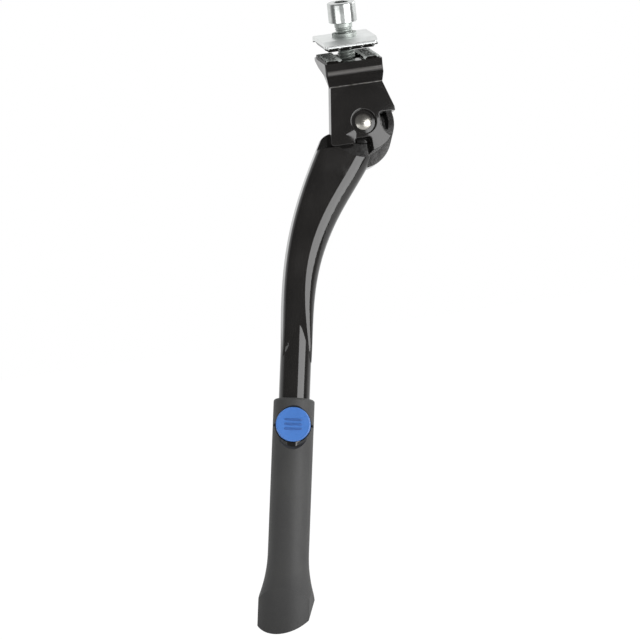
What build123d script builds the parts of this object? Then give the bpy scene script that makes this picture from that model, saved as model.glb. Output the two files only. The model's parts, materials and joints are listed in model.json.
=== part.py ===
from build123d import *
import math
import os

# Adjustable bicycle kickstand, in millimetres and degrees.
# The clamp bolt's axis is Z and the tips of the saddle's teeth lie at Z = 0.
# +X points to the rear of the bicycle and -Y to its outboard side.

# Clamp bolt and its lock washer
BOLT_D = 10.0
BOLT_LENGTH = 30.0
BOLT_HEAD_D = 16.0
BOLT_HEAD_H = 11.3
BOLT_HEAD_EDGE = 0.8
BOLT_TIP_EDGE = 1.0
BOLT_SEAT_Z = 18.4
SOCKET_FLATS = 8.0
SOCKET_DEPTH = 5.0
THREAD_GAP = 0.1
WASHER_OD = 13.8
WASHER_T = 2.0
WASHER_SLIT = 1.4
WASHER_SLIT_LEAN = 25.0
WASHER_GAP = 0.25

# Clamp plate above the chainstays, with a tapered jaw under it
CLAMP_X = 30.6
CLAMP_Y = 38.0
CLAMP_T = 2.5
CLAMP_Z = 7.8
CLAMP_LIP = 5.0
CLAMP_LIP_DROP = 2.0
CLAMP_CORNER = 2.0
CLAMP_EDGE = 0.6
CLAMP_HOLE_GAP = 0.3
JAW_X = 29.5
JAW_Y = 36.0
JAW_DROP = 3.2
JAW_TAPER = 30.0

# Saddle of the bracket, seen from the side in Y and Z
SADDLE_X = 33.0
SADDLE_FRONT = 19.0
SADDLE_REAR = 13.0
SADDLE_CORNER = 2.5
TOOTH_H = 1.6
TOOTH_PITCH = 4.0
TOOTH_ROWS = 8
CHANNEL_W = 12.5
CHANNEL_L = 20.0
CHANNEL_DEPTH = 3.4
NOSE_REACH = 2.0
NOSE_Z = -7.4
NOSE_ROUND = 2.5
NOSE_END_Z = -8.5
NOSE_END_TAPER = 2.3
CREASE_Y = -12.0
CREASE_Z = -16.3
WEB_Y = -11.5
WEB_Z = -8.4
BELLY_Y = 2.0
BELLY_Z = -6.1
BELLY_ROUND = 12.0
TAIL_END_Z = -2.6
NUT_BOSS_D = 18.0
NUT_BOSS_Z = -16.2

# Pivot: where its axis meets the cam plate's outboard face, and how far it leans
PIVOT_X = 2.3
PIVOT_Y = -19.0
PIVOT_Z = -36.2
SPLAY = 18.0
SWING = 90.0

# Cam plate of the bracket, measured from the pivot across (U) and up (V)
CAM_T = 8.0
CAM_TOP_V = 34.2
CAM_LEFT_TOP_U = -13.7
CAM_LEFT_LOW_U = -20.7
CAM_LOW_V = -11.8
CAM_CORNER = 1.6
CAM_EDGE = 0.5
NOTCH_LEFT_U = -6.7
NOTCH_RIGHT_U = 2.6
NOTCH_TOP_V = -9.0
NOTCH_ROUND = 1.4
CAM_TOOTH_R = 17.3
CAM_TOOTH_END = -35.0
SIDE_NOTCH_U = 9.4
SIDE_NOTCH_V = -1.0
EAR_LOW_V = 3.9
EAR_TIP_U = 18.8
EAR_TIP_H = 2.2
CAM_RIGHT_TOP_U = 10.3
COUNTERBORE_D = 13.6
COUNTERBORE_DEPTH = 1.8
COUNTERBORE_EDGE = 0.8

# Detent boss behind the cam plate, with its stop lug
BOSS_D = 23.0
BOSS_H = 5.5
STOP_D = 30.0
STOP_FROM = 70.0
STOP_SPAN = 40.0
STOP_GAP_ANGLE = 1.2

# Pivot pin, bush, washer and retaining ring
PIN_D = 9.5
PIN_DOME_H = 1.5
PIN_TAIL = 1.4
PRESS_GAP = 0.01
RUN_GAP = 0.04
BUSH_T = 1.6
REAR_WASHER_OD = 20.0
REAR_WASHER_T = 1.5
RING_T = 1.0
RING_GROOVE_D = 9.0
RING_OD = 14.6
RING_OPENING = 4.0
STACK_GAP = 0.1

# Leg: a line past the pivot, a long bend and a straight rod
LEG_DEPTH = 19.0
LEG_FRONT_W = -0.7
LEG_OFFSET = 3.0
UPPER_LEAN = 33.0
LOWER_LEAN = 11.6
KNEE_DISTANCE = 80.3
KNEE_RADIUS = 215.0
HUB_D = 37.2
HEEL_SHIFT = 7.4
HEEL_LEAN = 23.0
HUB_WALL_R = 14.5
SHOULDER_U = -18.5
SHOULDER_V = -3.4
SHOULDER_ROUND_U = -23.6
SHOULDER_ROUND_V = -5.2
SHOULDER_LOW_U = -26.7
SHOULDER_LOW_V = -9.2
HUB_WIDTH = 30.0
SHOULDER_AT = 24.0
SHOULDER_WIDTH = 30.0
SHOULDER_SHIFT = 0.9
THIGH_AT = 55.0
THIGH_WIDTH = 24.7
THIGH_SHIFT = -0.15
THIGH_DEPTH = 18.6
KNEE_AT = 98.0
KNEE_WIDTH = 18.7
KNEE_SHIFT = -0.45
KNEE_DEPTH = 17.4
SHIN_AT = 123.0
SHIN_RELIEF = 0.4
SHIN_SHIFT = -0.1
FORGING_END = 143.0
FORGING_END_DEPTH = 8.0
OUTER_EDGE = 4.5
INNER_EDGE = 9.2
KNEE_INNER_EDGE = 7.4
SHIN_INNER_EDGE = 4.2
END_OUTER_EDGE = 2.7
END_INNER_EDGE = 0.84
EDGE_FLAT = 0.1
LAP_GAP = 0.4
LAP_CLEARANCE = 0.4

# Detent plunger and its spring, inside the leg
PLUNGER_D = 4.0
PLUNGER_L = 11.0
PLUNGER_TRAVEL = 1.6
PLUNGER_LIFT = 0.2
DETENT_SPRING_L = 18.0
DETENT_SPRING_TURNS = 6
DETENT_WIRE = 0.6
SLIDE_GAP = 0.05

# Rod and its lock grooves; lengths along the rod start at the sleeve's top
ROD_D = 17.4
SLEEVE_AT = 165.0
SLEEVE_TURN = 8.5
ROD_IN_SLEEVE = 85.0
ROD_CHAMFER = 1.5
GROOVE_PITCH = 5.0
GROOVES_ABOVE = 4
GROOVES_BELOW = 7

# Foot sleeve
SLEEVE_WALL = 2.55
SLEEVE_TOP_ROUND = 1.5
SLEEVE_BORE_GAP = 0.25
SLEEVE_BORE_L = 107.0
FLARE_AT = 86.0
FLARE_ROUND = 75.0
FOOT_END = 140.0
FOOT_FLATS = 29.2
FOOT_FLAT_L = 14.5
FOOT_REACH = 14.4
FOOT_TURN = 12.0
FOOT_CORNER = 1.2
SOLE_AT = 119.5
SOLE_RISE_REAR = 0.31
SOLE_RISE_INBOARD = 0.88
SOLE_EDGE = 0.4

# Release button, its lock pin and spring, in a housing across the sleeve
BUTTON_SIDE = 1.0
BUTTON_AT = 15.1
BUTTON_PROUD = 0.5
BUTTON_EDGE = 0.7
BUTTON_WALL = 2.2
BUTTON_GAP = 0.45
BUTTON_PRESS = 1.0
BUTTON_LOCK = 1.3
DISH_RIM = 3.05
DISH_DEPTH = 4.0
DISH_SHIFT = 1.6
HOUSING_BACK = 2.0
GUIDE_SLIT = 1.4
LOCK_PIN_D = 3.0
LOCK_PIN_L = 14.0
LOCK_GAP = 0.2
BUTTON_SPRING_D = 4.6
BUTTON_SPRING_L = 3.6
BUTTON_SPRING_TURNS = 3
BUTTON_WIRE = 0.6
BUTTON_POCKET_GAP = 0.3
BUTTON_POCKET_DEPTH = 1.4

SPRING_END_GAP = 0.05
FAR = 200.0

# The pivot frame: x is U, y is V and z points outboard along the pin
pivot = Plane(
    origin=(PIVOT_X, PIVOT_Y, PIVOT_Z),
    x_dir=(1, 0, 0),
    z_dir=(0, -math.cos(math.radians(SPLAY)), math.sin(math.radians(SPLAY))),
).location


def polar(radius, angle):
    """The point at a radius and an angle about z."""
    return radius * math.cos(math.radians(angle)), radius * math.sin(math.radians(angle))


def disc(diameter, low, high):
    """A round bar along z between two heights."""
    return Pos(0, 0, (low + high) / 2) * Cylinder(diameter / 2, high - low)


def ring(outer, inner, low, high):
    """A plain ring along z between two heights."""
    return disc(outer, low, high) - disc(inner, low - 1, high + 1)


def sector(radius, start, span, low, high):
    """A pie slice about z, from a start angle over a span."""
    tips = [polar(2 * radius, start + span * part) for part in (0, 0.5, 1)]
    wedge = Pos(0, 0, low) * extrude(make_face(Polyline((0, 0), *tips, close=True)), high - low)
    return wedge & disc(2 * radius, low, high)


def coil(mean_d, wire, turns, length):
    """An open compression spring that stands on z = 0."""
    helix = Pos(0, 0, wire / 2) * Helix((length - wire) / turns, length - wire, mean_d / 2)
    wire_end = Plane(origin=helix @ 0, z_dir=helix % 0) * RegularPolygon(wire / 2, 6)
    return sweep(wire_end, path=helix, is_frenet=True)


# Clamp bolt: socket head, run half-way into the saddle
bolt_tip_z = BOLT_SEAT_Z - BOLT_LENGTH
head_top_z = BOLT_SEAT_Z + BOLT_HEAD_H
head = disc(BOLT_HEAD_D, BOLT_SEAT_Z, head_top_z)
head = fillet(head.edges().group_by(Axis.Z)[-1], BOLT_HEAD_EDGE)
socket = Pos(0, 0, head_top_z - SOCKET_DEPTH) * extrude(
    RegularPolygon(SOCKET_FLATS / 2, 6, major_radius=False), SOCKET_DEPTH
)
shank = disc(BOLT_D, bolt_tip_z, BOLT_SEAT_Z)
shank = chamfer(shank.edges().group_by(Axis.Z)[0], BOLT_TIP_EDGE)
clamp_bolt = head + shank - socket

# Clamp plate: its front and rear lips are turned down about the tapered jaw
half_y = CLAMP_Y / 2
clamp_top_z = CLAMP_Z + CLAMP_T
upper_line = [
    (-half_y, clamp_top_z - CLAMP_LIP_DROP),
    (CLAMP_LIP - half_y, clamp_top_z),
    (half_y - CLAMP_LIP, clamp_top_z),
    (half_y, clamp_top_z - CLAMP_LIP_DROP),
]
lower_line = [(y, z - CLAMP_T) for y, z in reversed(upper_line)]
clamp_profile = make_face(Polyline(*upper_line, *lower_line, close=True))
clamp_profile = fillet(clamp_profile.vertices(), CLAMP_EDGE)
clamp_strip = extrude(Plane.YZ * clamp_profile, CLAMP_X / 2, both=True)
clamp_outline = extrude(RectangleRounded(CLAMP_X, CLAMP_Y, CLAMP_CORNER), FAR, both=True)
jaw = extrude(Rectangle(JAW_X, JAW_Y), JAW_DROP, dir=(0, 0, -1), taper=JAW_TAPER)
clamp_plate = (clamp_strip & clamp_outline) + Pos(0, 0, CLAMP_Z) * jaw
clamp_plate -= disc(BOLT_D + 2 * CLAMP_HOLE_GAP, CLAMP_Z - JAW_DROP - 1, clamp_top_z + 1)

# Lock washer: a split spring ring on the plate
washer_top_z = clamp_top_z + WASHER_T
slit = Pos(-WASHER_OD / 2, 0, clamp_top_z + WASHER_T / 2) * Rot(WASHER_SLIT_LEAN, 0, 0) * Box(
    WASHER_OD, WASHER_SLIT, 3 * WASHER_T
)
lock_washer = ring(WASHER_OD, BOLT_D + 2 * WASHER_GAP, clamp_top_z, washer_top_z) - slit

# Saddle of the bracket, drawn from the side
front_y = -SADDLE_FRONT
saddle_y = SADDLE_FRONT + SADDLE_REAR
saddle_mid_y = (SADDLE_REAR - SADDLE_FRONT) / 2
saddle_profile = make_face(
    Polyline(
        (front_y, -TOOTH_H),
        (front_y - NOSE_REACH, NOSE_Z),
        (CREASE_Y, CREASE_Z),
        (WEB_Y, WEB_Z),
        (BELLY_Y, BELLY_Z),
        (SADDLE_REAR, TAIL_END_Z),
        (SADDLE_REAR, -TOOTH_H),
        close=True,
    )
)
nose_corner = saddle_profile.vertices().sort_by(Axis.X)[0]
saddle_profile = fillet(nose_corner, NOSE_ROUND)
belly_corner = saddle_profile.vertices().sort_by_distance((BELLY_Y, BELLY_Z, 0))[0]
saddle_profile = fillet(belly_corner, BELLY_ROUND)
saddle = extrude(Plane.YZ * saddle_profile, SADDLE_X / 2, both=True)
half_x = SADDLE_X / 2
nose_end = make_face(
    Polyline(
        (-half_x, NOSE_END_Z), (NOSE_END_TAPER - half_x, CREASE_Z), (-half_x, CREASE_Z), close=True
    )
)
saddle -= extrude(Plane.XZ * nose_end, FAR, both=True)
saddle_outline = RectangleRounded(SADDLE_X, saddle_y + NOSE_REACH, SADDLE_CORNER)
saddle &= extrude(Pos(0, saddle_mid_y - NOSE_REACH / 2) * saddle_outline, FAR, both=True)

# Teeth on both pads: ridges along X, with the bolt's channel between them
half_pitch = TOOTH_PITCH / 2
ridge = make_face(Polyline((-half_pitch, -TOOTH_H), (0, 0), (half_pitch, -TOOTH_H), close=True))
ridge_bar = extrude(Plane.YZ * ridge, SADDLE_X / 2 - SADDLE_CORNER / 2, both=True)
for row in range(TOOTH_ROWS):
    saddle += Pos(0, saddle_mid_y + (row - (TOOTH_ROWS - 1) / 2) * TOOTH_PITCH, 0) * ridge_bar
upward = (Align.CENTER, Align.CENTER, Align.MIN)
saddle -= Pos(0, 0, -TOOTH_H) * Box(CHANNEL_W, 2 * saddle_y, FAR, align=upward)
saddle += disc(NUT_BOSS_D, NUT_BOSS_Z, -TOOTH_H)
saddle -= Pos(0, 0, -CHANNEL_DEPTH) * Box(CHANNEL_W, CHANNEL_L, FAR, align=upward)

# Cam plate: left lobe, lower notch, round tooth, side notch and ear
tooth_start = -math.degrees(math.acos(NOTCH_RIGHT_U / CAM_TOOTH_R))
tooth_tip = polar(CAM_TOOTH_R, tooth_start)
tooth_end = polar(CAM_TOOTH_R, CAM_TOOTH_END)
cam_line = Polyline(
    (SIDE_NOTCH_U, SIDE_NOTCH_V),
    (SIDE_NOTCH_U, EAR_LOW_V),
    (EAR_TIP_U, EAR_LOW_V),
    (EAR_TIP_U, EAR_LOW_V + EAR_TIP_H),
    (CAM_RIGHT_TOP_U, CAM_TOP_V),
    (CAM_LEFT_TOP_U, CAM_TOP_V),
    (CAM_LEFT_LOW_U, CAM_LOW_V),
    (NOTCH_LEFT_U, CAM_LOW_V),
    (NOTCH_LEFT_U, NOTCH_TOP_V),
    (NOTCH_RIGHT_U, NOTCH_TOP_V),
    tooth_tip,
)
tooth_arc = CenterArc((0, 0), CAM_TOOTH_R, tooth_start, CAM_TOOTH_END - tooth_start)
side_curve = TangentArc((SIDE_NOTCH_U, SIDE_NOTCH_V), tooth_end, tangent=(0, -1))
cam_face = make_face(Curve() + [cam_line, tooth_arc, side_curve])
for corner, radius in (
    ((CAM_LEFT_LOW_U, CAM_LOW_V), CAM_CORNER),
    ((NOTCH_LEFT_U, NOTCH_TOP_V), NOTCH_ROUND),
    ((NOTCH_RIGHT_U, NOTCH_TOP_V), NOTCH_ROUND),
    ((SIDE_NOTCH_U, EAR_LOW_V), NOTCH_ROUND),
):
    cam_face = fillet(cam_face.vertices().sort_by_distance((*corner, 0))[0], radius)
cam_plate = Pos(0, 0, -CAM_T) * extrude(cam_face, CAM_T)
cam_plate = fillet(cam_plate.faces().sort_by(Axis.Z)[-1].edges(), CAM_EDGE)
cam_plate -= disc(COUNTERBORE_D, -COUNTERBORE_DEPTH, 1)
cam_front = cam_plate.faces().sort_by(Axis.Z)[-1]
cam_plate = fillet(cam_front.inner_wires()[0].edges(), COUNTERBORE_EDGE)

# Detent boss with a stop lug, and two notches one swing apart
boss_back_w = -CAM_T - BOSS_H
plunger_angle = -90.0 - UPPER_LEAN
plunger_nose = PLUNGER_D / 2
seat_r = BOSS_D / 2 + PLUNGER_LIFT - PLUNGER_TRAVEL + plunger_nose
boss = disc(BOSS_D, boss_back_w, -CAM_T) + sector(STOP_D / 2, STOP_FROM, STOP_SPAN, boss_back_w, -CAM_T)
for angle in (plunger_angle, plunger_angle + SWING):
    boss -= Pos(*polar(seat_r, angle)) * disc(PLUNGER_D + 2 * PLUNGER_LIFT, boss_back_w - 1, -CAM_T)

# One forged bracket, bored for the pivot pin and tapped for the bolt
bracket = saddle + pivot * (cam_plate + boss)
bracket -= pivot * disc(PIN_D + 2 * PRESS_GAP, boss_back_w - 1, 1)
bracket -= disc(BOLT_D + 2 * THREAD_GAP, NUT_BOSS_Z - 1, 1)

# Leg: centre line in the pivot frame, half-way through the leg's depth
leg_w = LEG_FRONT_W - LEG_DEPTH / 2
leg_back_w = LEG_FRONT_W - LEG_DEPTH
upper_dir = Vector(-math.sin(math.radians(UPPER_LEAN)), -math.cos(math.radians(UPPER_LEAN)))
lower_dir = Vector(-math.sin(math.radians(LOWER_LEAN)), -math.cos(math.radians(LOWER_LEAN)))
line_start = Vector(upper_dir.Y, -upper_dir.X, 0) * LEG_OFFSET + Vector(0, 0, leg_w)
knee = line_start + upper_dir * KNEE_DISTANCE
sleeve_top = knee + lower_dir * (SLEEVE_AT - KNEE_DISTANCE)
rod_end = sleeve_top + lower_dir * ROD_IN_SLEEVE
centre_line = FilletPolyline(line_start, knee, rod_end, radius=KNEE_RADIUS)


def leg_section(distance, width, depth, outer_edge, inner_edge, shift=0):
    """One rounded cross-section of the forging; its +x faces the inside of the bend."""
    along = centre_line.tangent_at(distance, position_mode=PositionMode.LENGTH)
    centre = centre_line.position_at(distance, position_mode=PositionMode.LENGTH)
    widest = depth / 2 - EDGE_FLAT
    face = Rectangle(width, depth)
    face = fillet(face.vertices().group_by(Axis.X)[-1], min(inner_edge, widest))
    face = fillet(face.vertices().group_by(Axis.X)[0], min(outer_edge, widest))
    return Plane(origin=centre, x_dir=(-along.Y, along.X, 0), z_dir=along) * Pos(shift, 0) * face


shin_width = ROD_D - SHIN_RELIEF
forging = loft(
    [
        leg_section(0, HUB_WIDTH, LEG_DEPTH, OUTER_EDGE, INNER_EDGE),
        leg_section(SHOULDER_AT, SHOULDER_WIDTH, LEG_DEPTH, OUTER_EDGE, INNER_EDGE, SHOULDER_SHIFT),
        leg_section(THIGH_AT, THIGH_WIDTH, THIGH_DEPTH, OUTER_EDGE, INNER_EDGE, THIGH_SHIFT),
        leg_section(KNEE_AT, KNEE_WIDTH, KNEE_DEPTH, OUTER_EDGE, KNEE_INNER_EDGE, KNEE_SHIFT),
        leg_section(SHIN_AT, shin_width, ROD_D, OUTER_EDGE, SHIN_INNER_EDGE, SHIN_SHIFT),
        leg_section(FORGING_END, shin_width, FORGING_END_DEPTH, END_OUTER_EDGE, END_INNER_EDGE),
    ]
)
lap_w = -CAM_T - LAP_GAP
heel_angle = -90.0 - HEEL_LEAN
hub = Pos(*polar(HEEL_SHIFT / 2, heel_angle), leg_back_w) * Rot(0, 0, heel_angle) * extrude(
    SlotCenterToCenter(HEEL_SHIFT, HUB_D), lap_w - leg_back_w
)

# The rod frame: y faces out through the button and z down the rod
rod = Plane(origin=sleeve_top, x_dir=(-lower_dir.Y, lower_dir.X, 0), z_dir=lower_dir).location
rod *= Rot(0, 0, SLEEVE_TURN)
rod_bar = disc(ROD_D, KNEE_AT - SLEEVE_AT, ROD_IN_SLEEVE)
rod_bar = chamfer(rod_bar.edges().group_by(Axis.Z)[-1], ROD_CHAMFER)
pin_rest_y = -ROD_D / 2 - LOCK_GAP - LOCK_PIN_D / 2
pin_lock_y = pin_rest_y + BUTTON_LOCK
groove = Rot(0, 90, 0) * Cylinder(LOCK_PIN_D / 2 + LOCK_GAP, ROD_D)
for step in range(-GROOVES_ABOVE, GROOVES_BELOW + 1):
    rod_bar -= Pos(0, pin_lock_y, BUTTON_AT + step * GROOVE_PITCH) * groove

# Half-lap: the leg's outboard half stops short of the cam plate
lap_d = 2 * (math.hypot(EAR_TIP_U, EAR_LOW_V + EAR_TIP_H) + LAP_CLEARANCE)
leg = forging + hub + rod * rod_bar
leg -= disc(lap_d, lap_w, FAR)
above_lap = Box(FAR, FAR, FAR, align=(Align.CENTER, Align.MIN, Align.MIN))
shoulder_round = ThreePointArc(
    (SHOULDER_LOW_U, SHOULDER_LOW_V), (SHOULDER_ROUND_U, SHOULDER_ROUND_V), (SHOULDER_U, SHOULDER_V)
)
above_shoulder = Polyline(
    (SHOULDER_U, SHOULDER_V),
    (0, SHOULDER_V),
    (0, FAR),
    (-FAR, FAR),
    (-FAR, SHOULDER_LOW_V),
    (SHOULDER_LOW_U, SHOULDER_LOW_V),
)
beside_hub = extrude(make_face(Curve() + [shoulder_round, above_shoulder]), FAR, both=True)
leg -= beside_hub - disc(2 * HUB_WALL_R, -FAR, FAR)
leg -= Pos(0, CAM_LOW_V - LAP_GAP, lap_w) * above_lap

# Hub recess for the boss, its swing pocket, the bush's bore and the detent bore
recess_w = boss_back_w - LAP_GAP
recess_d = BOSS_D + 2 * LAP_GAP
bush_od = PIN_D + 2 * (RUN_GAP + BUSH_T)
pocket_from = STOP_FROM - SWING - STOP_GAP_ANGLE
pocket_span = STOP_SPAN + SWING + 2 * STOP_GAP_ANGLE
detent_w = (lap_w + recess_w) / 2
detent_tip_r = BOSS_D / 2 + PLUNGER_LIFT
detent_l = PLUNGER_L + DETENT_SPRING_L + 2 * SPRING_END_GAP
detent = Plane(origin=(0, 0, detent_w), x_dir=(0, 0, 1), z_dir=upper_dir).location
leg -= disc(recess_d, recess_w, FAR)
leg -= sector(STOP_D / 2 + LAP_GAP, pocket_from, pocket_span, recess_w, FAR)
leg -= disc(bush_od + 2 * PRESS_GAP, leg_back_w - 1, FAR)
leg -= detent * disc(PLUNGER_D + 2 * SLIDE_GAP, 0, detent_tip_r + detent_l)

# Pivot pin with a domed front end, its bush, rear washer and retaining ring
dome_r = (PIN_D ** 2 / 4 + PIN_DOME_H ** 2) / (2 * PIN_DOME_H)
washer_front_w = leg_back_w - STACK_GAP
ring_front_w = washer_front_w - REAR_WASHER_T - STACK_GAP
pin_back_w = ring_front_w - RING_T - PIN_TAIL
dome_foot_w = -COUNTERBORE_DEPTH
dome_top_w = dome_foot_w + PIN_DOME_H
dome = disc(PIN_D, dome_foot_w, dome_top_w) & Pos(0, 0, dome_top_w - dome_r) * Sphere(dome_r)
pivot_pin = disc(PIN_D, pin_back_w, dome_foot_w) + dome
pivot_pin = chamfer(pivot_pin.edges().group_by(Axis.Z)[0], PIN_TAIL / 2)
pivot_pin -= ring(2 * PIN_D, RING_GROOVE_D, ring_front_w - RING_T - STACK_GAP, ring_front_w + STACK_GAP)
pivot_bush = ring(bush_od, PIN_D + 2 * RUN_GAP, leg_back_w, recess_w)
rear_washer = ring(REAR_WASHER_OD, PIN_D + 2 * RUN_GAP, washer_front_w - REAR_WASHER_T, washer_front_w)
retaining_ring = ring(RING_OD, RING_GROOVE_D + 2 * PRESS_GAP, ring_front_w - RING_T, ring_front_w)
retaining_ring -= Pos(0, -RING_OD / 2, ring_front_w) * Box(RING_OPENING, RING_OD, 3 * RING_T)

# Detent plunger, held just clear of the boss, and the spring behind it
nose_r = detent_tip_r + plunger_nose
detent_plunger = disc(PLUNGER_D, nose_r, detent_tip_r + PLUNGER_L)
detent_plunger += Pos(0, 0, nose_r) * Sphere(plunger_nose)
detent_spring = Pos(0, 0, detent_tip_r + PLUNGER_L + SPRING_END_GAP) * coil(
    PLUNGER_D - DETENT_WIRE, DETENT_WIRE, DETENT_SPRING_TURNS, DETENT_SPRING_L
)

# Foot sleeve, in the rod frame: a turned tube that flares into a foot with two flat sides
bore_d = ROD_D + 2 * SLEEVE_BORE_GAP
sleeve_r = bore_d / 2 + SLEEVE_WALL
flare_l = FOOT_END - FLARE_AT
flare_r = sleeve_r + FLARE_ROUND - math.sqrt(FLARE_ROUND ** 2 - flare_l ** 2)
flare_side = TangentArc((sleeve_r, FLARE_AT), (flare_r, FOOT_END), tangent=(0, 1))
tube_side = Polyline(
    (flare_r, FOOT_END), (0, FOOT_END), (0, 0), (sleeve_r, 0), (sleeve_r, FLARE_AT)
)
blank = revolve(Plane.XZ * make_face(Curve() + [flare_side, tube_side]), Axis.Z)
blank = fillet(blank.edges().group_by(Axis.Z)[0], SLEEVE_TOP_ROUND)
flat_x = FOOT_FLATS / 2
flat_y = FOOT_FLAT_L / 2
foot_outline = make_face(
    Curve()
    + [
        ThreePointArc((-flat_x, flat_y), (0, FOOT_REACH), (flat_x, flat_y)),
        Line((flat_x, flat_y), (flat_x, -flat_y)),
        ThreePointArc((flat_x, -flat_y), (0, -FOOT_REACH), (-flat_x, -flat_y)),
        Line((-flat_x, -flat_y), (-flat_x, flat_y)),
    ]
)
foot_outline = Rot(0, 0, FOOT_TURN) * fillet(foot_outline.vertices(), FOOT_CORNER)
sole = Plane(origin=(0, 0, SOLE_AT), z_dir=(SOLE_RISE_REAR, -SOLE_RISE_INBOARD, 1))
foot = split(blank & extrude(foot_outline, FOOT_END), bisect_by=sole, keep=Keep.BOTTOM)
sole_face = foot.faces().filter_by(lambda face: face.normal_at().dot(sole.z_dir) > 0.999)[0]
foot = fillet(sole_face.edges(), SOLE_EDGE)

# Housing across the sleeve for the button: open in front, closed behind
across = Pos(0, 0, BUTTON_AT) * Rot(-90, 0, 0)
button_back_y = pin_rest_y - LOCK_PIN_D / 2 - BUTTON_WALL
spring_floor_y = button_back_y + BUTTON_POCKET_DEPTH
housing_floor_y = spring_floor_y - BUTTON_SPRING_L
housing_back_y = housing_floor_y - HOUSING_BACK
button_d = ROD_D + 2 * BUTTON_SIDE
hole_d = button_d + 2 * BUTTON_GAP
dish = Pos(0, 0, sleeve_r + 1 - DISH_DEPTH) * Cone(
    hole_d / 2, hole_d / 2 + DISH_RIM, DISH_DEPTH, align=(Align.CENTER, Align.CENTER, Align.MIN)
)
foot += across * disc(2 * sleeve_r, housing_back_y, 0)
foot -= disc(bore_d, -1, SLEEVE_BORE_L)
foot -= across * disc(hole_d, housing_floor_y, FAR)
foot -= Pos(0, 0, DISH_SHIFT) * across * dish
guide_slit = Box(FAR, FAR, GUIDE_SLIT, align=(Align.CENTER, Align.MIN, Align.CENTER))
foot_sleeve = foot - Pos(0, -sleeve_r / 2, BUTTON_AT) * (guide_slit - Box(hole_d - 1, FAR * 2, FAR))

# Release button: a round yoke about the rod, with the lock pin across its back wall
window_front = ROD_D / 2 + SLEEVE_BORE_GAP + BUTTON_PRESS
window_back = -ROD_D / 2 - SLEEVE_BORE_GAP - BUTTON_LOCK
window = Rot(0, 0, 90) * SlotOverall(window_front - window_back, bore_d)
window = Pos(0, (window_front + window_back) / 2) * window
yoke = across * disc(button_d, button_back_y, sleeve_r + BUTTON_PROUD)
yoke = fillet(yoke.edges().group_by(Axis.Y)[-1], BUTTON_EDGE)
yoke -= extrude(window, FAR, both=True)
pin_place = Pos(0, pin_rest_y, BUTTON_AT) * Rot(0, 90, 0)
lock_pin = pin_place * Cylinder(LOCK_PIN_D / 2, LOCK_PIN_L)
release_button = yoke - pin_place * Cylinder(LOCK_PIN_D / 2 + PRESS_GAP, LOCK_PIN_L + 2 * PRESS_GAP)
pocket_d = BUTTON_SPRING_D + 2 * BUTTON_POCKET_GAP
release_button -= across * disc(pocket_d, button_back_y - 1, spring_floor_y)
button_spring = across * Pos(0, 0, housing_floor_y + SPRING_END_GAP) * coil(
    BUTTON_SPRING_D - BUTTON_WIRE, BUTTON_WIRE, BUTTON_SPRING_TURNS, BUTTON_SPRING_L - 2 * SPRING_END_GAP
)

nodes = {
    "bracket": bracket,
    "clamp_plate": clamp_plate,
    "clamp_bolt": clamp_bolt,
    "lock_washer": lock_washer,
    "pivot_pin": pivot * pivot_pin,
    "pivot_bush": pivot * pivot_bush,
    "rear_washer": pivot * rear_washer,
    "retaining_ring": pivot * retaining_ring,
    "leg": pivot * leg,
    "detent_plunger": pivot * detent * detent_plunger,
    "detent_spring": pivot * detent * detent_spring,
    "foot_sleeve": pivot * rod * foot_sleeve,
    "release_button": pivot * rod * release_button,
    "lock_pin": pivot * rod * lock_pin,
    "button_spring": pivot * rod * button_spring,
}

os.makedirs("parts", exist_ok=True)
for name, piece in nodes.items():
    export_step(piece, f"parts/{name}.step")
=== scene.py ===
import json
import math

import bpy
from mathutils import Matrix, Vector


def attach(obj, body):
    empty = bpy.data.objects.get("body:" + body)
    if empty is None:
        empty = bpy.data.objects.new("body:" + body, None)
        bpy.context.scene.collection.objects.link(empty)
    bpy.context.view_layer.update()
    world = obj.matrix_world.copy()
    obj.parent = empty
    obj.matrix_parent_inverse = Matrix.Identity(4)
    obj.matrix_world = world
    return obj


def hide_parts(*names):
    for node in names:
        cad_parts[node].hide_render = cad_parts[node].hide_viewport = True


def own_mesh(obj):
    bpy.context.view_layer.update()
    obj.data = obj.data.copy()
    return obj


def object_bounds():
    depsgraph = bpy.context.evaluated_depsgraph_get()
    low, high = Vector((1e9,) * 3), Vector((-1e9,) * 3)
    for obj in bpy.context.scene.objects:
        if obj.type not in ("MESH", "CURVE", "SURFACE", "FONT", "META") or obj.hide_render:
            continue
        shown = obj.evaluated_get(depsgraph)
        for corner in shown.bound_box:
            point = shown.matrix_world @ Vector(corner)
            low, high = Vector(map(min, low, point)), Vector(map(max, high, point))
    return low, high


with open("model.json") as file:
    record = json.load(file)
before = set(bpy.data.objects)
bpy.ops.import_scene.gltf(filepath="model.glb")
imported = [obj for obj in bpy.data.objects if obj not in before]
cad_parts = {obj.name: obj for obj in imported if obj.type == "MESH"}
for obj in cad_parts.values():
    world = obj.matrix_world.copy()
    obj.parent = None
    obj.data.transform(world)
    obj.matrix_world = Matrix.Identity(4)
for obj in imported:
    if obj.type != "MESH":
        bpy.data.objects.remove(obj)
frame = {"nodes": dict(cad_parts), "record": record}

cad_low, cad_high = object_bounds()
scene = bpy.context.scene
scene.view_settings.view_transform = "Standard"

# From the frame: nodes, joints and directions; lengths are in metres throughout
nodes = frame["nodes"]
joints = {joint["name"]: joint for joint in frame["record"]["behaviour"]["joints"]}
sole = next(mount for mount in frame["record"]["mounts"] if mount["name"] == "sole")
pivot = Vector(joints["leg_swing"]["pos_m"])
cam_up = Vector(joints["leg_swing"]["axis"]).cross(Vector((1, 0, 0)))
rod_down = Vector(joints["foot_slide"]["axis"])
button_out = -Vector(joints["button_press"]["axis"])

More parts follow.
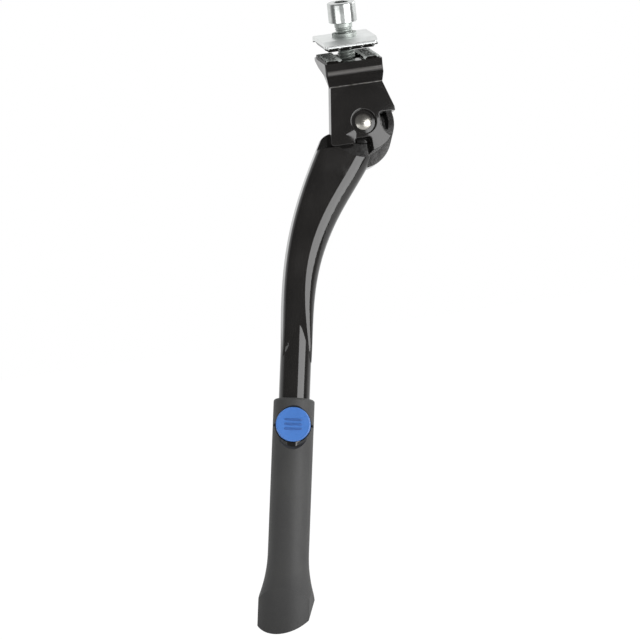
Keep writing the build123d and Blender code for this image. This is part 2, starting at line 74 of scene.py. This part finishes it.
# Camera: the photo's side, height and roll, and the picture's centre as seen from the pivot
CAMERA_AZIMUTH = math.radians(-10)
CAMERA_ELEVATION = math.radians(12)
CAMERA_ROLL = math.radians(6.3)
CAMERA_DISTANCE = 3.0
SENSOR_MM = 36
FRAME_WIDTH = 0.3596
CENTRE_RIGHT = -0.0247
CENTRE_UP = -0.1118

# What gloss mirrors: a white backdrop behind, a pale table low in front, dark elsewhere
BACKDROP_SIDE = (0.17, 0.985, 0)
BACKDROP_EDGE = (0, 0.32)
TABLE_EDGE = (-0.62, -0.48)
TABLE_RISE = (-0.14, 0.08)
TABLE_LEVEL = 0.8
DARK_LEVEL = 0.22

# The even light on what doesn't mirror
EVEN_LEVEL = 0.4

# A pale floor below the lowest place of the foot
FLOOR_REACH = 0.8
FLOOR_GAP = 0.0005
FLOOR_TONE = (0.9, 0.9, 0.9, 1)
FLOOR_ROUGHNESS = 0.9
FLOOR_GLOW = 1.04
FLOOR_GLOW_SHARE = 0.9

# Where the soft lights look
AIM = (0, -0.05, -0.12)

# The middle range of a noise, and the detail of the common ones
NOISE_LOW = 0.3
NOISE_HIGH = 0.7
CLOUD_DETAIL = 4
GRAIN_DETAIL = 2

# How much finer than its clouds a finish's grain is
METAL_GRAIN = 12
SATIN_GRAIN = 11.875
PLASTIC_GRAIN = 25

# Depth of a finish's grain
METAL_RELIEF = 0.000004
MOULD_RELIEF = 0.00003
POLISH_RELIEF = 0.000008

# Black paint: tone, gloss, slow waves and orange peel
PAINT_DARK = (0.0072, 0.0066, 0.0062)
PAINT_LIGHT = (0.0112, 0.0103, 0.0097)
PAINT_ROUGHNESS = (0.05, 0.09)
PAINT_CLOUD = 60
PAINT_DETAIL = 3
WAVE_SCALE = 55
WAVE_DETAIL = 1
LEG_WAVE = 0.00005
BRACKET_WAVE = 0.00012
PEEL_SCALE = 420
PEEL_DEPTH = 0.000006

# Swells of the forged cam plate: centre across and up from the pivot, radius and slope
SWELLS = ((0, 0, 0.021, 0.05), (-0.0115, -0.0062, 0.006, 0.06))

# Bare metal on the saddle's teeth, most of it at the channel's edges and the rear end
BARE_TONE = (0.55, 0.58, 0.56)
BARE_METALLIC = 0.35
BARE_ROUGHNESS = 0.4
BARE_FROM = 0.0001
BARE_FULL = 0.0004
CHANNEL_EDGE = 0.0072
CHANNEL_BAND = (0.0005, 0.0016)
PAD_END = 0.0145
PAD_END_BAND = 0.0012
RUB_DEPTH = 0.0013
RUB_SCALE = 520
RUB_STRETCH = (1, 0.3, 1)
RUB_BREAK = (0.40, 0.56)
RAGGED_DEPTH = 0.0009
RAGGED_SCALE = 900
RAGGED_DETAIL = 3

# A painted highlight: a light line in the crease below the saddle's nose
CREASE_HIGHLIGHT_TONE = (0.22, 0.215, 0.205)
CREASE_Y = -0.0124
CREASE_Z = -0.0159
CREASE_WIDTH = 0.0005
CREASE_SCALE = 500
CREASE_FAINT = 0.1

# A painted highlight along the ridge of the nose
RIDGE_HIGHLIGHT_TONE = (0.098, 0.094, 0.09)
RIDGE_Y = -0.0207
RIDGE_DEPTH = 0.00042
RIDGE_LOW = -0.0095
RIDGE_FADE = 0.001

# Painted shade on the jaw under the clamp plate and the lower part of its lips: its upper limit, and
# lighter zigzag lines, painted reflections of teeth
JAW_SHADE_TONE = (0.018, 0.018, 0.017)
JAW_TOP = 0.0070
JAW_BLEND = 0.0001
ZIGZAG = 0.0008
TOOTH_PITCH = 0.0033
TOOTH_LINE = 0.0005
TOOTH_DARK = 0.3

# Painted shade on the middle of the sheared ends of the plate's lips, which leaves their edges lighter
LIP_SHADE_TONE = (0.30, 0.31, 0.31)
LIP_MIDDLE = 0.00765
LIP_SHADE_HALF = 0.00025
LIP_EDGE = 0.0002

# Painted shade that darkens the foot towards its sole
SOLE_SHADE_TONE = (0.008, 0.008, 0.008)
SOLE_SHADE_REACH = 0.022
SOLE_SHADE_SHARE = 0.5

# Edges that turn by more than this are sharp
SHARP_ANGLE = math.radians(40)

# M10 screw
SCREW_SEAT = 0.0184
SCREW_LENGTH = 0.030
SCREW_TIP = SCREW_SEAT - SCREW_LENGTH
SCREW_R = 0.005
SCREW_TIP_EDGE = 0.001
SCREW_SIDES = 60
THREAD_PITCH = 0.0015
THREAD_DEPTH = 0.0007
THREAD_STEEPNESS = 1.25
THREAD_END = 0.0026
THREAD_FADE = 0.0012
RINGS_PER_PITCH = 8
HEAD_R = 0.008
HEAD_H = 0.0113
HEAD_TOP = SCREW_SEAT + HEAD_H
HEAD_EDGE = 0.0008
HEAD_EDGE_STEPS = 6
HEAD_FOOT_EDGE = 0.0003
SOCKET_FLATS = 0.008
SOCKET_EDGE = 0.0003
SOCKET_DEPTH = 0.005
SOCKET_FLOOR = HEAD_TOP - SOCKET_DEPTH
SOCKET_POINT = 0.001

# Grip ribs on the button
RIBS = 3
RIB_LENGTH = 0.010
RIB_WIDTH = 0.0013
RIB_HEIGHT = 0.0007
RIB_SINK = 0.0002
RIB_PITCH = 0.0026
RIB_BLUNTNESS = 12
RIB_LONG_STEPS = 24
RIB_CROSS_STEPS = 8
BUTTON_FACE_DEPTH = 0.00005


def feed(tree, socket, value):
    """Links an input to another node's output, or sets it to a plain value."""
    if isinstance(value, bpy.types.NodeSocket):
        tree.links.new(value, socket)
    else:
        socket.default_value = value


def add(tree, kind, **values):
    """One shader node, with its inputs fed by name."""
    node = tree.nodes.new(kind)
    for key, value in values.items():
        feed(tree, node.inputs[key], value)
    return node


def math_node(tree, operation, first, second=0.0):
    """One sum, product or the like of two values, each an output or a number."""
    node = tree.nodes.new("ShaderNodeMath")
    node.operation = operation
    feed(tree, node.inputs[0], first)
    feed(tree, node.inputs[1], second)
    return node.outputs["Value"]


def vector_node(tree, operation, vector, fixed):
    """The dot product of a vector with a fixed one, or their distance."""
    node = tree.nodes.new("ShaderNodeVectorMath")
    node.operation = operation
    feed(tree, node.inputs[0], vector)
    feed(tree, node.inputs[1], fixed)
    return node.outputs["Value"]


def object_place(tree):
    """Where a point lies in its object's own metres."""
    return tree.nodes.new("ShaderNodeTexCoord").outputs["Object"]


def split(tree, vector):
    """The X, Y and Z of a vector."""
    return add(tree, "ShaderNodeSeparateXYZ", Vector=vector).outputs


def away_from(tree, value, centre=0.0):
    """How far a value lies from a centre, to either side."""
    return math_node(tree, "ABSOLUTE", math_node(tree, "SUBTRACT", value, centre))


def noise(tree, scale, detail, stretch=(1, 1, 1)):
    """Noise in the object's own metres, stretched along its axes."""
    mapping = add(tree, "ShaderNodeMapping", Vector=object_place(tree), Scale=stretch)
    vector = mapping.outputs["Vector"]
    return add(tree, "ShaderNodeTexNoise", Vector=vector, Scale=scale, Detail=detail).outputs["Fac"]


def spread(tree, source, low, high, start=NOISE_LOW, end=NOISE_HIGH):
    """A value that goes from low to high while its source goes from start to end."""
    limits = {"From Min": start, "From Max": end, "To Min": low, "To Max": high}
    return add(tree, "ShaderNodeMapRange", Value=source, **limits).outputs["Result"]


def tint(tree, source, dark, light):
    """A colour between two that follows a noise."""
    ramp = add(tree, "ShaderNodeValToRGB", Fac=source)
    ends = ramp.color_ramp.elements
    ends[0].position = NOISE_LOW
    ends[1].position = NOISE_HIGH
    ends[0].color = (*dark, 1)
    ends[1].color = (*light, 1)
    return ramp.outputs["Color"]


def new_material(name):
    """A new material with its node tree and principled shader."""
    material = bpy.data.materials.new(name)
    material.use_nodes = True
    tree = material.node_tree
    return material, tree, tree.nodes["Principled BSDF"]


def relief(tree, shader, height, distance=1):
    """Fine relief on a shader, its height in units of a distance."""
    node = add(tree, "ShaderNodeBump", Height=height, Distance=distance, Strength=1)
    feed(tree, shader.inputs["Normal"], node.outputs["Normal"])


def cover(material, share, colour):
    """Lets a finish give way to a plain colour."""
    tree = material.node_tree
    base = tree.nodes["Principled BSDF"].inputs["Base Color"]
    mix = tree.nodes.new("ShaderNodeMix")
    mix.data_type = "RGBA"
    feed(tree, mix.inputs["Factor"], share)
    feed(tree, mix.inputs["A"], base.links[0].from_socket)
    feed(tree, mix.inputs["B"], (*colour, 1))
    feed(tree, base, mix.outputs["Result"])


def cloudy(name, dark, light, rough, scale, grain, depth, metallic):
    """A finish with a cloudy tone and a fine grain."""
    material, tree, shader = new_material(name)
    clouds = noise(tree, scale, CLOUD_DETAIL)
    grains = noise(tree, scale * grain, GRAIN_DETAIL)
    feed(tree, shader.inputs["Base Color"], tint(tree, clouds, dark, light))
    feed(tree, shader.inputs["Roughness"], spread(tree, grains, *rough))
    feed(tree, shader.inputs["Metallic"], metallic)
    relief(tree, shader, grains, depth)
    return material


def metal(name, dark, light, rough, scale, grain=METAL_GRAIN):
    """Bare or plated metal."""
    return cloudy(name, dark, light, rough, scale, grain, METAL_RELIEF, 1)


def plastic(name, dark, light, rough, scale, depth):
    """Moulded plastic."""
    return cloudy(name, dark, light, rough, scale, PLASTIC_GRAIN, depth, 0)


def swell(tree, across, up, radius, slope):
    """The height of a low cone on the cam plate."""
    centre = pivot + Vector((across, 0, 0)) + cam_up * up
    reach = vector_node(tree, "DISTANCE", object_place(tree), centre)
    return spread(tree, reach, radius * slope, 0, 0, radius)


def black_paint(name, wave, swells=()):
    """Gloss black paint that follows the slow waves and swells of a forging."""
    material, tree, shader = new_material(name)
    clouds = noise(tree, PAINT_CLOUD, PAINT_DETAIL)
    waves = math_node(tree, "MULTIPLY", noise(tree, WAVE_SCALE, WAVE_DETAIL), wave)
    peel = math_node(tree, "MULTIPLY", noise(tree, PEEL_SCALE, GRAIN_DETAIL), PEEL_DEPTH)
    height = math_node(tree, "ADD", waves, peel)
    for shape in swells:
        height = math_node(tree, "ADD", height, swell(tree, *shape))
    feed(tree, shader.inputs["Base Color"], tint(tree, clouds, PAINT_DARK, PAINT_LIGHT))
    feed(tree, shader.inputs["Roughness"], spread(tree, clouds, *PAINT_ROUGHNESS))
    relief(tree, shader, height)
    return material


def paint_crease_highlight(material):
    """Paints a broken highlight line in the crease below the saddle's nose."""
    tree = material.node_tree
    place = split(tree, object_place(tree))
    beside = away_from(tree, place["Y"], CREASE_Y)
    above = away_from(tree, place["Z"], CREASE_Z)
    near = spread(tree, math_node(tree, "MAXIMUM", beside, above), 1, 0, 0, CREASE_WIDTH)
    broken = spread(tree, noise(tree, CREASE_SCALE, GRAIN_DETAIL), CREASE_FAINT, 1)
    cover(material, math_node(tree, "MULTIPLY", near, broken), CREASE_HIGHLIGHT_TONE)


def paint_ridge_highlight(material):
    """Paints a highlight along the ridge of the saddle's nose."""
    tree = material.node_tree
    place = split(tree, object_place(tree))
    at_ridge = spread(tree, place["Y"], 1, 0, RIDGE_Y, RIDGE_Y + RIDGE_DEPTH)
    on_nose = spread(tree, place["Z"], 0, 1, RIDGE_LOW - RIDGE_FADE, RIDGE_LOW)
    cover(material, math_node(tree, "MULTIPLY", at_ridge, on_nose), RIDGE_HIGHLIGHT_TONE)


def wear_teeth(material):
    """Wears the tips of the saddle's teeth to bare metal."""
    tree = material.node_tree
    place = split(tree, object_place(tree))
    from_channel = away_from(tree, away_from(tree, place["X"]), CHANNEL_EDGE)
    at_channel = spread(tree, from_channel, 1, 0, *CHANNEL_BAND)
    at_end = spread(tree, place["X"], 0, 1, PAD_END - PAD_END_BAND, PAD_END)
    broken = spread(tree, noise(tree, RUB_SCALE, GRAIN_DETAIL, RUB_STRETCH), 0, RUB_DEPTH, *RUB_BREAK)
    rubbed = math_node(tree, "MULTIPLY", math_node(tree, "MAXIMUM", at_channel, at_end), broken)
    ragged = math_node(tree, "MULTIPLY", noise(tree, RAGGED_SCALE, RAGGED_DETAIL), RAGGED_DEPTH)
    level = math_node(tree, "ADD", math_node(tree, "ADD", place["Z"], ragged), rubbed)
    bare = spread(tree, level, 0, 1, BARE_FROM, BARE_FULL)
    cover(material, bare, BARE_TONE)
    shader = tree.nodes["Principled BSDF"]
    gloss = shader.inputs["Roughness"].links[0].from_socket
    dull = math_node(tree, "ADD", gloss, math_node(tree, "MULTIPLY", bare, BARE_ROUGHNESS))
    feed(tree, shader.inputs["Roughness"], dull)
    feed(tree, shader.inputs["Metallic"], math_node(tree, "MULTIPLY", bare, BARE_METALLIC))


def shade_lip_ends(material):
    """Paints shade on the middle of the sheared ends of the clamp plate's lips."""
    tree = material.node_tree
    place = split(tree, object_place(tree))
    lip_end = max(abs(vertex.co.y) for vertex in nodes["clamp_plate"].data.vertices)
    from_screw = away_from(tree, place["Y"])
    at_end = spread(tree, from_screw, 0, 1, lip_end - 2 * LIP_EDGE, lip_end - LIP_EDGE)
    from_middle = away_from(tree, place["Z"], LIP_MIDDLE)
    in_middle = spread(tree, from_middle, 1, 0, LIP_SHADE_HALF, LIP_SHADE_HALF + LIP_EDGE)
    cover(material, math_node(tree, "MULTIPLY", at_end, in_middle), LIP_SHADE_TONE)


def shade_jaw_and_paint_glints(material):
    """Paints shade on the clamp plate's jaw and lower lips, but for lighter zigzag lines painted as
    reflections of teeth.
    """
    tree = material.node_tree
    place = split(tree, object_place(tree))
    jaw = spread(tree, place["Z"], 1, 0, JAW_TOP - JAW_BLEND, JAW_TOP + JAW_BLEND)
    bent = math_node(tree, "ADD", place["X"], math_node(tree, "PINGPONG", place["Z"], ZIGZAG))
    from_line = math_node(tree, "PINGPONG", bent, TOOTH_PITCH)
    off_glints = spread(tree, from_line, TOOTH_DARK, 1, 0, TOOTH_LINE)
    cover(material, math_node(tree, "MULTIPLY", jaw, off_glints), JAW_SHADE_TONE)


def shade_towards_sole(material):
    """Paints shade that darkens a finish towards the foot's sole."""
    tree = material.node_tree
    depth = vector_node(tree, "DOT_PRODUCT", object_place(tree), sole["axis"])
    sole_depth = Vector(sole["pos_m"]).dot(Vector(sole["axis"]))
    shaded_share = spread(tree, depth, 0, SOLE_SHADE_SHARE, sole_depth - SOLE_SHADE_REACH, sole_depth)
    cover(material, shaded_share, SOLE_SHADE_TONE)


# Finishes
paint = black_paint("black_paint", LEG_WAVE)
# Bracket paint: real wear on the teeth, with painted highlights in the nose crease and along its ridge
highlit_worn_paint = black_paint("black_paint_highlit_worn", BRACKET_WAVE, SWELLS)
paint_crease_highlight(highlit_worn_paint)
paint_ridge_highlight(highlit_worn_paint)
wear_teeth(highlit_worn_paint)
zinc = metal("zinc", (0.50, 0.52, 0.51), (0.64, 0.66, 0.65), rough=(0.16, 0.28), scale=260)
thread_zinc = metal("thread_zinc", (0.40, 0.43, 0.41), (0.52, 0.55, 0.53), rough=(0.48, 0.62), scale=260)
satin_zinc = metal(
    "satin_zinc",
    (0.74, 0.76, 0.75),
    (0.83, 0.85, 0.84),
    rough=(0.34, 0.44),
    scale=160,
    grain=SATIN_GRAIN,
)
# Painted shade on the middle of the lip ends
shade_lip_ends(satin_zinc)
# Painted shade on the jaw, with painted reflections of teeth
shade_jaw_and_paint_glints(satin_zinc)
bright_steel = metal("bright_steel", (0.28, 0.27, 0.25), (0.40, 0.39, 0.36), rough=(0.24, 0.34), scale=180)
spring_steel = metal("spring_steel", (0.42, 0.42, 0.43), (0.56, 0.56, 0.57), rough=(0.22, 0.34), scale=300)
bronze = metal("bronze", (0.42, 0.29, 0.14), (0.58, 0.42, 0.22), rough=(0.35, 0.5), scale=400)
grey_plastic = plastic(
    "grey_plastic",
    (0.028, 0.028, 0.028),
    (0.035, 0.035, 0.034),
    rough=(0.56, 0.68),
    scale=70,
    depth=MOULD_RELIEF,
)
# Painted shade towards the foot's sole
shade_towards_sole(grey_plastic)
blue_plastic = plastic(
    "blue_plastic",
    (0.042, 0.135, 0.40),
    (0.055, 0.16, 0.45),
    rough=(0.24, 0.34),
    scale=90,
    depth=POLISH_RELIEF,
)
# A darker copy of the button's blue for its ribs: painted shade on the raised ribs
shaded_blue = plastic(
    "shaded_blue",
    (0.025, 0.085, 0.27),
    (0.032, 0.10, 0.31),
    rough=(0.28, 0.38),
    scale=90,
    depth=POLISH_RELIEF,
)

finishes = {
    "bracket": highlit_worn_paint,
    "clamp_plate": satin_zinc,
    "clamp_bolt": zinc,
    "lock_washer": thread_zinc,
    "pivot_pin": bright_steel,
    "pivot_bush": bronze,
    "rear_washer": zinc,
    "retaining_ring": spring_steel,
    "leg": paint,
    "detent_plunger": bright_steel,
    "detent_spring": spring_steel,
    "foot_sleeve": grey_plastic,
    "release_button": blue_plastic,
    "lock_pin": bright_steel,
    "button_spring": spring_steel,
}
for name, material in finishes.items():
    nodes[name].data.materials.clear()
    nodes[name].data.materials.append(material)


def piece_of(name, points, faces, material, body, slot):
    """A smooth mesh piece that rides on a body."""
    mesh = bpy.data.meshes.new(name)
    mesh.from_pydata(points, [], faces)
    mesh.shade_smooth()
    mesh.set_sharp_from_angle(angle=SHARP_ANGLE)
    mesh.materials.append(material)
    piece = bpy.data.objects.new(name, mesh)
    scene.collection.objects.link(piece)
    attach(piece, body)
    return piece


def thread_radius(height, angle):
    """The screw's radius on its helical thread."""
    fade = min(1, max(0, (SCREW_SEAT - THREAD_END - height) / THREAD_FADE))
    turn = (height / THREAD_PITCH - angle / math.tau) % 1
    groove = min(1, THREAD_STEEPNESS * (1 - abs(2 * turn - 1)))
    chamfer = SCREW_R - SCREW_TIP_EDGE + (height - SCREW_TIP)
    return min(SCREW_R - THREAD_DEPTH * groove * fade, chamfer)


def hexagon_radius(angle):
    """The socket's radius at an angle."""
    return SOCKET_FLATS / 2 / math.cos(angle % (math.pi / 3) - math.pi / 6)


def screw_rings(angles):
    """Rings of radius and height: up the thread, round the head and down the socket."""
    rings = []
    steps = round(SCREW_LENGTH / THREAD_PITCH * RINGS_PER_PITCH)
    for step in range(steps + 1):
        height = SCREW_TIP + SCREW_LENGTH * step / steps
        rings.append([(thread_radius(height, angle), height) for angle in angles])
    head_line = [(HEAD_R - HEAD_FOOT_EDGE, SCREW_SEAT), (HEAD_R, SCREW_SEAT + HEAD_FOOT_EDGE)]
    for step in range(HEAD_EDGE_STEPS + 1):
        bend = math.radians(90 * step / HEAD_EDGE_STEPS)
        radius = HEAD_R - HEAD_EDGE * (1 - math.cos(bend))
        head_line.append((radius, HEAD_TOP - HEAD_EDGE * (1 - math.sin(bend))))
    rings += [[point] * len(angles) for point in head_line]
    socket_line = ((SOCKET_EDGE, HEAD_TOP), (0, HEAD_TOP - SOCKET_EDGE), (0, SOCKET_FLOOR))
    for wider, height in socket_line:
        rings.append([(hexagon_radius(angle) + wider, height) for angle in angles])
    return rings


def screw_shape():
    """Points and faces of the screw, closed at its tip and in its socket."""
    angles = [math.tau * side / SCREW_SIDES for side in range(SCREW_SIDES)]
    rings = screw_rings(angles)
    points = [
        (radius * math.cos(angle), radius * math.sin(angle), height)
        for ring in rings
        for (radius, height), angle in zip(ring, angles)
    ]
    faces = []
    for ring in range(len(rings) - 1):
        low = ring * SCREW_SIDES
        high = low + SCREW_SIDES
        for side in range(SCREW_SIDES):
            following = (side + 1) % SCREW_SIDES
            faces.append((low + side, low + following, high + following, high + side))
    last = (len(rings) - 1) * SCREW_SIDES
    points += [(0, 0, SCREW_TIP), (0, 0, SOCKET_FLOOR - SOCKET_POINT)]
    for side in range(SCREW_SIDES):
        following = (side + 1) % SCREW_SIDES
        faces.append((len(points) - 2, following, side))
        faces.append((len(points) - 1, last + side, last + following))
    return points, faces


# Screw: bright head, duller shank
screw = piece_of("screw", *screw_shape(), zinc, "bracket_body", "zinc")
screw.data.materials.append(thread_zinc)
for face in screw.data.polygons:
    face.material_index = int(face.center.z < SCREW_SEAT)
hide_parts("clamp_bolt")


def rib_shape(middle, along, across):
    """Points and faces of a long pillow on the button's face."""
    points = []
    for long_step in range(RIB_LONG_STEPS + 1):
        reach = math.cos(math.pi * long_step / RIB_LONG_STEPS)
        end_fade = math.sqrt(max(0, 1 - abs(reach) ** RIB_BLUNTNESS))
        for cross_step in range(RIB_CROSS_STEPS + 1):
            turn = math.pi * cross_step / RIB_CROSS_STEPS
            points.append(
                middle
                + along * reach * RIB_LENGTH / 2
                + across * math.cos(turn) * end_fade * RIB_WIDTH / 2
                + button_out * (math.sin(turn) * end_fade * (RIB_HEIGHT + RIB_SINK) - RIB_SINK)
            )
    faces = []
    span = RIB_CROSS_STEPS + 1
    for low in range(0, RIB_LONG_STEPS * span, span):
        high = low + span
        for corner in range(low, high - 1):
            faces.append((corner, corner + 1, corner + span + 1, corner + span))
        faces.append((low, high, high + span - 1, high - 1))
    return points, faces


# Grip ribs across the middle of the button's face, in the darker blue that paints their shade
button_points = [vertex.co for vertex in nodes["release_button"].data.vertices]
face_out = max(point.dot(button_out) for point in button_points)
face_points = [point for point in button_points if face_out - point.dot(button_out) < BUTTON_FACE_DEPTH]
face_low = Vector(min(point[axis] for point in face_points) for axis in range(3))
face_high = Vector(max(point[axis] for point in face_points) for axis in range(3))
face_centre = (face_low + face_high) / 2
rib_along = rod_down.cross(button_out).normalized()
rib_across = button_out.cross(rib_along)
for row in range(RIBS):
    rib_middle = face_centre + rib_across * (row - (RIBS - 1) / 2) * RIB_PITCH
    rib = rib_shape(rib_middle, rib_along, rib_across)
    piece_of(f"rib_{row + 1}", *rib, shaded_blue, "button_body", "blue_plastic")

# Button spring: it stands on the housing's floor
spring = bpy.data.objects.new("button_coil", nodes["button_spring"].data.copy())
scene.collection.objects.link(spring)
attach(spring, "foot_body")
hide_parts("button_spring")
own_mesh(spring)


def floor_finish(name):
    """A pale matt floor that glows white where it is seen straight or mirrored."""
    material, tree, shader = new_material(name)
    feed(tree, shader.inputs["Base Color"], FLOOR_TONE)
    feed(tree, shader.inputs["Roughness"], FLOOR_ROUGHNESS)
    glow = add(tree, "ShaderNodeEmission", Strength=FLOOR_GLOW)
    rays = tree.nodes.new("ShaderNodeLightPath").outputs
    mirrored = math_node(tree, "MAXIMUM", rays["Is Glossy Ray"], rays["Is Transmission Ray"])
    seen = math_node(tree, "MAXIMUM", rays["Is Camera Ray"], mirrored)
    blend = add(tree, "ShaderNodeMixShader", Fac=math_node(tree, "MULTIPLY", seen, FLOOR_GLOW_SHARE))
    tree.links.new(shader.outputs["BSDF"], blend.inputs[1])
    tree.links.new(glow.outputs["Emission"], blend.inputs[2])
    tree.links.new(blend.outputs["Shader"], tree.nodes["Material Output"].inputs["Surface"])
    return material


# Floor
floor_z = cad_low.z + rod_down.z * joints["foot_slide"]["range_m"][1] - FLOOR_GAP
floor_corners = [
    (FLOOR_REACH * x, FLOOR_REACH * y, floor_z) for x, y in ((-1, -1), (1, -1), (1, 1), (-1, 1))
]
floor_mesh = bpy.data.meshes.new("floor")
floor_mesh.from_pydata(floor_corners, [], [(0, 1, 2, 3)])
floor_mesh.materials.append(floor_finish("floor"))
floor = bpy.data.objects.new("floor", floor_mesh)
scene.collection.objects.link(floor)


def mirrored_level(tree):
    """How bright the studio is in each direction, as gloss mirrors it."""
    direction = tree.nodes.new("ShaderNodeTexCoord").outputs["Generated"]
    behind = vector_node(tree, "DOT_PRODUCT", direction, BACKDROP_SIDE)
    backdrop = spread(tree, behind, 0, 1 - DARK_LEVEL, *BACKDROP_EDGE)
    in_front = spread(tree, behind, TABLE_LEVEL - DARK_LEVEL, 0, *TABLE_EDGE)
    below = spread(tree, split(tree, direction)["Z"], 1, 0, *TABLE_RISE)
    table = math_node(tree, "MULTIPLY", in_front, below)
    return math_node(tree, "ADD", math_node(tree, "MAXIMUM", backdrop, table), DARK_LEVEL)


# World: white where it is seen straight, a studio in gloss, even on the rest
world = bpy.data.worlds.new("studio")
world.use_nodes = True
scene.world = world
tree = world.node_tree
sky = tree.nodes["Background"]
sky.inputs["Color"].default_value = (1, 1, 1, 1)
rays = tree.nodes.new("ShaderNodeLightPath").outputs
straight = math_node(tree, "MAXIMUM", rays["Is Camera Ray"], rays["Is Transmission Ray"])
in_gloss = add(tree, "ShaderNodeMix", Factor=rays["Is Glossy Ray"], A=EVEN_LEVEL, B=mirrored_level(tree))
in_view = add(tree, "ShaderNodeMix", Factor=straight, A=in_gloss.outputs["Result"], B=1)
tree.links.new(in_view.outputs["Result"], sky.inputs["Strength"])


def soft_light(name, place, size, power, mirrored=True):
    """One soft box that looks at the aim, mirrored by gloss or not."""
    lamp = bpy.data.lights.new(name, "AREA")
    lamp.shape = "RECTANGLE"
    lamp.size, lamp.size_y = size
    lamp.energy = power
    holder = bpy.data.objects.new(name, lamp)
    holder.location = place
    holder.rotation_mode = "QUATERNION"
    holder.rotation_quaternion = (Vector(AIM) - Vector(place)).to_track_quat("-Z", "Y")
    holder.visible_camera = False
    holder.visible_glossy = mirrored
    scene.collection.objects.link(holder)


# Lights: a large key in front on the right, with weaker ones to the left, at the right side and above
soft_light("key", (0.662, -0.929, 0.05), size=(0.95, 0.9), power=14)
soft_light("fill", (-1.1, -0.5, 0.5), size=(0.5, 0.8), power=4, mirrored=False)
soft_light("low_left", (-0.76, -0.70, -0.16), size=(0.73, 0.28), power=1.3)
soft_light("right", (1.02, 0.42, 0.22), size=(0.9, 0.5), power=3.6)
soft_light("top", (-0.1, 0.3, 1.2), size=(0.8, 0.8), power=8, mirrored=False)

# Camera
forward = Vector(
    (
        -math.sin(CAMERA_AZIMUTH) * math.cos(CAMERA_ELEVATION),
        math.cos(CAMERA_AZIMUTH) * math.cos(CAMERA_ELEVATION),
        -math.sin(CAMERA_ELEVATION),
    )
)
level = Vector((math.cos(CAMERA_AZIMUTH), math.sin(CAMERA_AZIMUTH), 0))
upright = level.cross(forward)
right = level * math.cos(CAMERA_ROLL) - upright * math.sin(CAMERA_ROLL)
up = level * math.sin(CAMERA_ROLL) + upright * math.cos(CAMERA_ROLL)
centre = pivot + right * CENTRE_RIGHT + up * CENTRE_UP
lens = bpy.data.cameras.new("camera")
lens.sensor_width = SENSOR_MM
lens.lens = SENSOR_MM * CAMERA_DISTANCE / FRAME_WIDTH
camera = bpy.data.objects.new("camera", lens)
turn = Matrix((right, up, -forward)).transposed().to_4x4()
camera.matrix_world = Matrix.Translation(centre - forward * CAMERA_DISTANCE) @ turn
scene.collection.objects.link(camera)
scene.camera = camera
